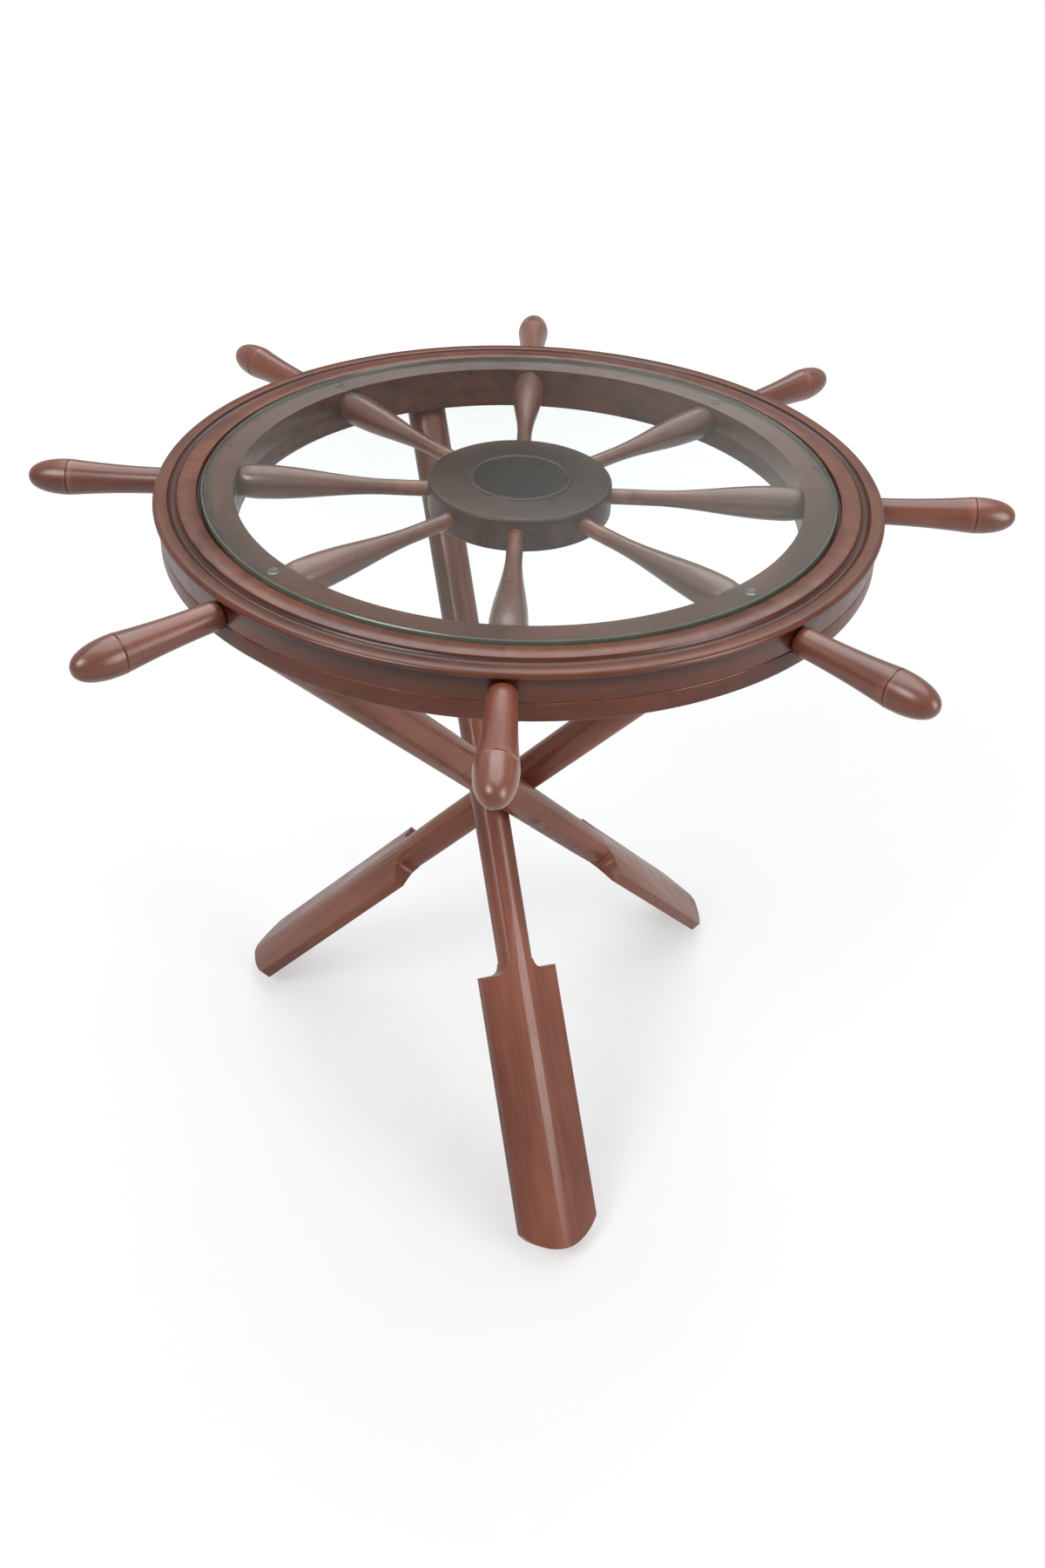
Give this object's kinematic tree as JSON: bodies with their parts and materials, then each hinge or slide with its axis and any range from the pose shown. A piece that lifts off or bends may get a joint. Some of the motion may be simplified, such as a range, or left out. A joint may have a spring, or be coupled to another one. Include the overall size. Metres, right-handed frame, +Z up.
{
  "type": "ship wheel table",
  "caption": "Round glass-topped table: a spoked wooden ship's wheel with handles, carried on crossed oars.",
  "frame": {"origin": "on the floor under the wheel's axis, at the middle of the foot print", "axes": "+Z up along the wheel's axis; +X along one spoke; the picture looks along +Y with +X to the right"},
  "size_m": [0.968, 0.968, 0.759],
  "materials": {
    "rim_wood": "reddish brown stain under satin lacquer",
    "hub_wood": "reddish brown stain under satin lacquer",
    "turned_wood": "reddish brown stain under satin lacquer",
    "oar_wood": "reddish brown stain under satin lacquer",
    "glass": "clear, polished bevelled edge",
    "clear_pad": "clear soft plastic",
    "dowel_wood": "plain, glued in",
    "plug_wood": "dark stain, flush",
    "screw_steel": "plain"
  },
  "bodies": {
    "frame": {"felloe_ring": "rim_wood", "under_ring": "rim_wood", "hub_upper_plate": "hub_wood", "hub_lower_plate": "hub_wood", "hub_cap": "hub_wood", "spoke_1": "turned_wood", "spoke_2": "turned_wood", "spoke_3": "turned_wood", "spoke_4": "turned_wood", "spoke_5": "turned_wood", "spoke_6": "turned_wood", "spoke_7": "turned_wood", "spoke_8": "turned_wood", "handle_1": "turned_wood", "handle_2": "turned_wood", "handle_3": "turned_wood", "handle_4": "turned_wood", "handle_5": "turned_wood", "handle_6": "turned_wood", "handle_7": "turned_wood", "handle_8": "turned_wood", "glass_bumpers": "clear_pad", "oar_1": "oar_wood", "oar_2": "oar_wood", "oar_3": "oar_wood", "oar_dowels": "dowel_wood", "crossing_screws": "screw_steel", "crossing_plugs": "plug_wood"},
    "glass": {"glass_top": "glass"}
  },
  "joints": [
    {"name": "glass_lift", "type": "slide", "parent": "frame", "child": "glass", "axis": [0, 0, 1], "range_m": [0, 0.05]}
  ]
}
